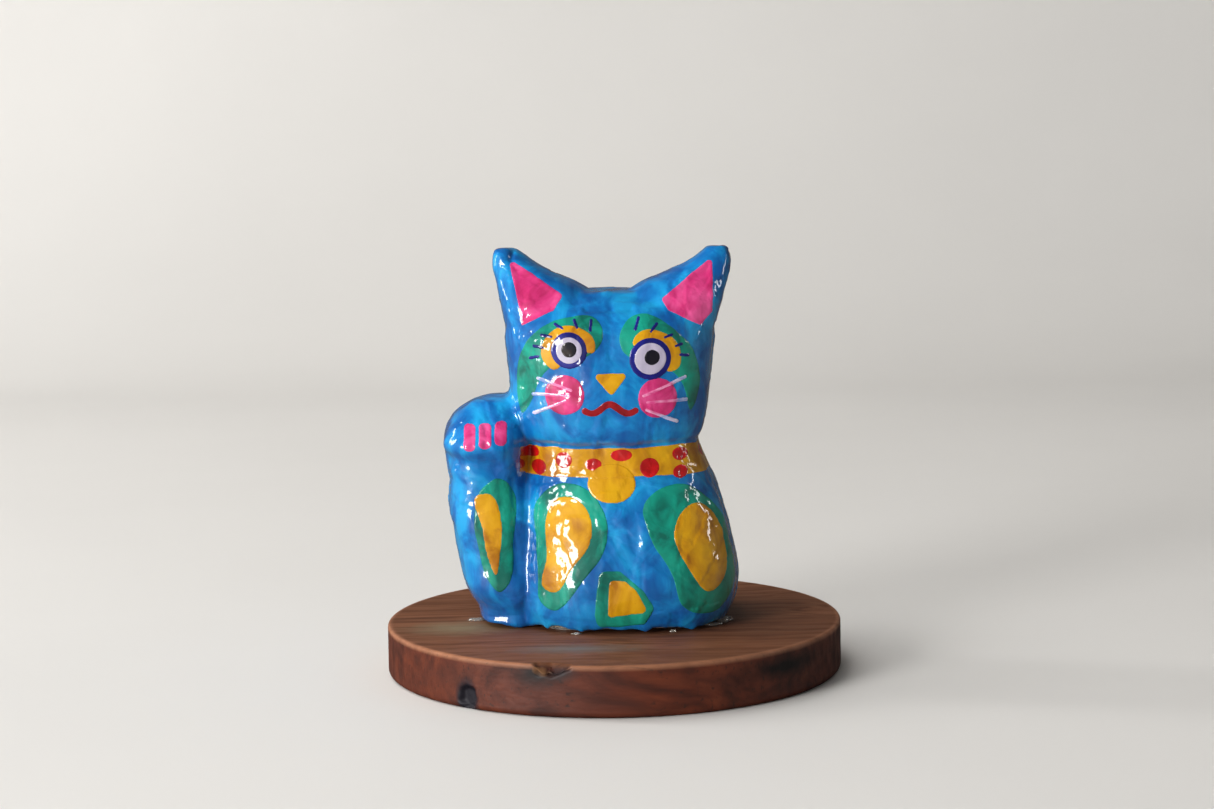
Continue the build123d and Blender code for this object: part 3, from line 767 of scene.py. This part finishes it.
def whisker_wash():
    """White brushed thinly: pinkish where it crosses a cheek, and pale lilac beyond."""
    n = Nodes("whisker_wash")
    brush = n.noise(n.scaled(260, 700, 900), detail=3)
    wash = n.ramp(brush, (0.35, colour(120, 150, 205)), (0.62, colour(206, 200, 226)))
    pink = n.ramp(brush, (0.35, colour(222, 74, 140)), (0.65, colour(240, 156, 196)))
    low, high = box_mm("cheeks")
    radius = (high[2] - low[2]) / 2 - 0.5
    for across in (low[0] + radius, high[0] - radius):
        middle = (across, low[1], (low[2] + high[2]) / 2)
        wash = n.spot(middle, (1, 0, 1), radius - 0.4, radius + 0.5, 0.4, pink, wash)
    n.set(Base_Color=wash, **VARNISHED)
    return n.material


def acacia():
    """Dark brown wood with grain along X, a redder rim with a band of painted shade on its right, a pale band
    round the top edge, bark pockets and a pale chip.
    """
    n = Nodes("acacia_wood")
    low, high = box_mm("wooden_coaster")
    radius, thick = (high[0] - low[0]) / 2, high[2] - low[2]
    axes = n.add("ShaderNodeSeparateXYZ")
    n.join(n.where, axes.inputs[0])
    # the grain: lines along X, bent a little
    bend = n.noise(n.scaled(18, 30, 30), detail=2)
    spread = n.vector("MULTIPLY", n.where, (16, 420, 240))
    lines = n.noise(n.vector("ADD", spread, n.maths("MULTIPLY", bend, 7.0)), detail=5.0, rough=0.5)
    broad = n.noise(n.scaled(12, 70, 60), detail=3, distortion=0.4)
    wood = n.ramp(lines, (0.28, colour(84, 46, 26)), (0.48, colour(118, 72, 46)),
                  (0.62, colour(132, 84, 56)), (0.80, colour(106, 62, 40)))
    wood = n.mix(n.ramp(broad, (0.35, 0.0), (0.70, 0.55)), wood, colour(94, 58, 38))
    # the redder rim
    side = n.ramp(lines, (0.28, colour(56, 22, 11)), (0.52, colour(86, 36, 18)), (0.75, colour(104, 48, 26)))
    below_top = n.maths("SUBTRACT", thick * MM, axes.outputs["Z"])
    on_side = n.ramp(n.maths("DIVIDE", below_top, 0.0012), (0.35, 0.0), (1.0, 1.0))
    blotch = n.noise(n.scaled(90, 90, 260), detail=3)
    side = n.mix(n.ramp(blotch, (0.40, 0.0), (0.68, 0.45)), side, colour(72, 34, 22))
    wood = n.mix(on_side, wood, side)
    pores = n.noise(n.scaled(110, 2600, 900), detail=2)
    wood = n.mix(n.ramp(pores, (0.60, 0.0), (0.72, 0.7)), wood, colour(40, 24, 18))
    patches = (  # middle, stretch, near, far, ragged, colour
        ((-17.5, -48.0, thick - 2.0), (0.35, 1, 0.9), 1.6, 4.2, 1.2, colour(30, 20, 18)),      # the knot
        ((-15.0, -48.6, thick - 0.8), (0.70, 1, 1), 1.2, 2.6, 1.0, colour(168, 118, 76)),      # its pale chip
        ((-11.2, -48.8, thick - 1.6), (0.5, 1, 1), 0.8, 2.6, 0.8, colour(44, 34, 34)),         # its dark end
        ((-30.8, -39.6, 2.2), (0.9, 0.9, 0.62), 2.4, 3.6, 1.0, colour(20, 16, 26)),            # bark pocket
        ((36.0, -35.5, 7.2), (0.12, 0.12, 0.62), 1.0, 2.6, 1.3, colour(22, 9, 6)),             # painted shade: a near-black band on the right of the rim, where it turns from the light
        ((-33.0, -10.0, thick), (0.13, 0.20, 1), 0.7, 2.4, 1.0, colour(128, 108, 80)),         # pale hazy patches on top
        ((-8.0, -33.0, thick), (0.10, 0.30, 1), 0.6, 2.2, 1.0, colour(112, 100, 92)),
    )
    for patch in patches:
        wood = n.spot(*patch, wood)
    # a pale band round the top edge, broken up by noise
    across = n.vector("LENGTH", n.vector("MULTIPLY", n.where, (1, 1, 0)))
    from_rim = n.maths("ABSOLUTE", n.maths("SUBTRACT", radius * MM, across))
    corner = n.maths("ADD", from_rim, n.maths("ABSOLUTE", below_top))
    worn = n.ramp(n.maths("DIVIDE", corner, 0.0016), (0.28, 0.7), (0.85, 0.0))
    worn = n.maths("MULTIPLY", worn, n.noise(n.scaled(160, 160, 160), detail=4))
    wood = n.mix(worn, wood, colour(186, 128, 96))
    height = n.maths("ADD", n.maths("MULTIPLY", lines, 0.7), n.maths("MULTIPLY", pores, -0.6))
    n.set(Base_Color=wood, Roughness=n.ramp(lines, (0.3, 0.66), (0.7, 0.52)), Specular_IOR_Level=0.25,
          Normal=n.bump(height, 0.00007, 0.8))
    return n.material


def glue_clear():
    """Set hot glue: clear, a little milky, with a glossy skin."""
    n = Nodes("clear_glue")
    milk = n.noise(n.scaled(500, 500, 500), detail=3)
    n.set(Base_Color=n.ramp(milk, (0.3, colour(196, 190, 178)), (0.7, colour(236, 232, 224))), Roughness=0.12,
          Transmission_Weight=0.72, IOR=1.48, Coat_Weight=0.6, Coat_Roughness=0.05,
          Normal=n.bump(milk, 0.0001, 0.6))
    return n.material


def newspaper(name, tight):
    """Newsprint: grey paper with creases, and rows of grey ticks that are no letters."""
    n = Nodes(name)
    folds = n.noise(n.scaled(160, 160, 160), detail=5, rough=0.65, distortion=1.5)
    paper = n.ramp(folds, (0.35, colour(150, 146, 136)), (0.65, colour(206, 202, 190)))
    rows = n.add("ShaderNodeTexWave", wave_type="BANDS", bands_direction="Z")
    n.join(n.scaled(1, 1, 1), rows.inputs["Vector"])
    rows.inputs["Scale"].default_value = tight
    rows.inputs["Distortion"].default_value = 2.0
    ticks = n.noise(n.scaled(1500, 1500, 200), detail=1)
    ink = n.maths("MULTIPLY", n.ramp(rows.outputs["Fac"], (0.45, 0.0), (0.6, 1.0)),
                  n.ramp(ticks, (0.50, 0.0), (0.56, 0.6)))
    paper = n.mix(ink, paper, colour(92, 90, 88))
    n.set(Base_Color=paper, Roughness=0.9, Normal=n.bump(folds, 0.0008, 0.9))
    return n.material


def greyboard():
    n = Nodes("greyboard")
    fibres = n.noise(n.scaled(900, 900, 900), detail=5, rough=0.7)
    n.set(Base_Color=n.ramp(fibres, (0.35, colour(128, 112, 92)), (0.65, colour(166, 148, 122))),
          Roughness=0.92, Normal=n.bump(fibres, 0.0001, 0.5))
    return n.material


def masking_tape():
    n = Nodes("masking_tape")
    crepe = n.noise(n.scaled(300, 300, 2600), detail=3)
    n.set(Base_Color=n.ramp(crepe, (0.35, colour(196, 168, 116)), (0.65, colour(226, 202, 154))),
          Roughness=0.55, Normal=n.bump(crepe, 0.00012, 0.7))
    return n.material


# paint: its middle, dark and light colour, and how patchy and how streaky it is
PAINTS = {
    "blue_papier_mache": ((0, 114, 184), (0, 84, 156), (18, 150, 208), 1.0, 0.9),
    "green_paint": ((6, 138, 116), (2, 94, 80), (14, 160, 134), 0.7, 0.5),
    "ochre_paint": ((208, 148, 2), (168, 104, 2), (222, 166, 8), 0.6, 0.5),
    "pink_paint": ((208, 46, 116), (170, 22, 80), (226, 84, 146), 0.7, 0.7),
    "red_paint": ((192, 6, 10), (140, 2, 6), (214, 24, 24), 0.4, 0.3),
    "navy_paint": ((14, 18, 112), (8, 10, 80), (26, 34, 140), 0.4, 0.3),
    "lilac_white_paint": ((184, 176, 196), (164, 156, 180), (200, 194, 208), 0.5, 0.3),
    "black_paint": ((14, 14, 30), (6, 6, 16), (46, 28, 20), 0.8, 0.3),
}
MATERIALS = {
    name: painted(name, colour(*base), colour(*shade), colour(*light), patchy, streaky)
    for name, (base, shade, light, patchy, streaky) in PAINTS.items()
}
MATERIALS |= {
    "acacia_wood": acacia(),
    "clear_glue": glue_clear(),
    "newspaper_wad": newspaper("newspaper_wad", 320),
    "newspaper_roll": newspaper("newspaper_roll", 420),
    "greyboard": greyboard(),
    "masking_tape": masking_tape(),
}
OWN_MATERIALS = {  # pieces whose paint differs from the rest of its slot
    "whiskers": whisker_wash(),
    "mouth": painted("lip_red", colour(150, 6, 20), colour(112, 2, 14), colour(176, 14, 28), 0.4, 0.3),
}

# ---------------------------------------------------------------- the object put together
slot_of = {row["node"]: row["material_slot"] for row in frame["record"]["subparts"]}
for node, skin in varnished.items():
    finished(skin, slot_of[node], MATERIALS[slot_of[node]], node)
for node, piece in film_pieces.items():
    material = OWN_MATERIALS.get(node, MATERIALS[slot_of[node]])
    finished(piece, slot_of[node], material, node)
finished(coaster_wood(), "acacia_wood", MATERIALS["acacia_wood"], "wooden_coaster")
finished(glue_squeeze(), "clear_glue", MATERIALS["clear_glue"])
for node, thing in frame["nodes"].items():
    if not thing.hide_render:
        thing.data.materials.clear()
        thing.data.materials.append(MATERIALS[slot_of[node]])

# ---------------------------------------------------------------- camera, stage and light
SENSOR, LENS = 36.0, 74.13       # in millimetres
CAMERA_PLACE = (0.0, -0.54465, 0.12232)
CAMERA_DOWN, CAMERA_TURN, CAMERA_ROLL = 6.708, 0.085, -0.926      # in degrees
camera_data = bpy.data.cameras.new("camera")
camera_data.sensor_width = SENSOR
camera_data.lens = LENS
camera_data.clip_start = 0.01
camera = bpy.data.objects.new("camera", camera_data)
bpy.context.scene.collection.objects.link(camera)
tilt, turn, roll = math.radians(90 - CAMERA_DOWN), math.radians(CAMERA_TURN), math.radians(CAMERA_ROLL)
camera.rotation_mode = "XYZ"
camera.matrix_world = (
    Matrix.Translation(CAMERA_PLACE) @ Matrix.Rotation(turn, 4, "Z") @ Matrix.Rotation(tilt, 4, "X")
    @ Matrix.Rotation(roll, 4, "Z")
)
bpy.context.scene.camera = camera


def backdrop():
    """A pale floor that curves up into a pale wall."""
    wide, front, bend_start, bend, bend_steps, tall = 6.0, -6.0, 0.55, 0.35, 16, 2.4
    line = [(front, 0.0), (0.0, 0.0)]
    line += [(bend_start + bend * sine, bend * (1 - cosine)) for sine, cosine in quarter_turn(bend_steps)]
    line.append((bend_start + bend, tall))
    points = [(x, y, z) for y, z in line for x in (-wide, wide)]
    faces = [(2 * i, 2 * i + 1, 2 * i + 3, 2 * i + 2) for i in range(len(line) - 1)]
    mesh = bpy.data.meshes.new("backdrop")
    mesh.from_pydata(points, [], faces)
    mesh.polygons.foreach_set("use_smooth", [True] * len(mesh.polygons))
    sheet_object = bpy.data.objects.new("backdrop", mesh)
    bpy.context.scene.collection.objects.link(sheet_object)
    n = Nodes("pale_floor")
    clouds = n.noise(n.scaled(3, 3, 3))
    tone = n.ramp(clouds, (0.3, colour(220, 217, 212)), (0.7, colour(226, 223, 218)))
    # the varnish mirrors the floor as if it were a dim room
    mirrored = n.add("ShaderNodeLightPath").outputs["Is Glossy Ray"]
    n.set(Base_Color=n.mix(mirrored, tone, colour(96, 90, 84)), Roughness=0.7)
    mesh.materials.append(n.material)


FIGURE_MIDDLE = (0, 0, 0.05)
WORLD_COLOUR, WORLD_AS_LIGHT, WORLD_AS_SEEN = (0.80, 0.82, 0.85, 1), 0.12, 0.72
# name, place and size in metres, watts, whether it lights surfaces, whether the varnish mirrors it
LIGHTS = (
    ("window", (-0.74, -0.80, 0.25), (0.34, 0.46), 11.5, True, False),
    ("window_panes", (-0.80, -0.80, 0.25), (0.44, 0.50), 19.0, False, True),
    ("left_edge", (-0.95, 0.25, 0.40), (0.12, 0.60), 3.0, True, True),
    ("right_edge", (0.95, -0.05, 0.40), (0.10, 0.60), 2.0, False, True),
    ("room", (-0.5, -1.3, 0.8), (1.2, 1.0), 1.2, True, False),
    ("ceiling", (-0.60, 0.0, 1.25), (1.2, 1.1), 13.0, True, False),
)


def soft_light(name, where, size, watts, lights, mirrored):
    """An area light facing the figure: it lights surfaces, is mirrored in the varnish, or both."""
    light = bpy.data.lights.new(name, "AREA")
    light.shape = "RECTANGLE"
    light.size, light.size_y = size
    light.energy = watts
    lamp = bpy.data.objects.new(name, light)
    bpy.context.scene.collection.objects.link(lamp)
    lamp.location = where
    lamp.rotation_euler = (Vector(FIGURE_MIDDLE) - Vector(where)).to_track_quat("-Z", "Y").to_euler()
    lamp.visible_diffuse = lights
    lamp.visible_glossy = mirrored


backdrop()
for row in LIGHTS:
    soft_light(*row)
world = bpy.data.worlds.new("world")
bpy.context.scene.world = world
world.use_nodes = True
background = world.node_tree.nodes["Background"]
background.inputs["Color"].default_value = WORLD_COLOUR
seen = world.node_tree.nodes.new("ShaderNodeLightPath")
brightness = world.node_tree.nodes.new("ShaderNodeMapRange")
brightness.inputs["To Min"].default_value = WORLD_AS_LIGHT
brightness.inputs["To Max"].default_value = WORLD_AS_SEEN
world.node_tree.links.new(seen.outputs["Is Camera Ray"], brightness.inputs["Value"])
world.node_tree.links.new(brightness.outputs["Result"], background.inputs["Strength"])
bpy.context.scene.view_settings.view_transform = "Standard"
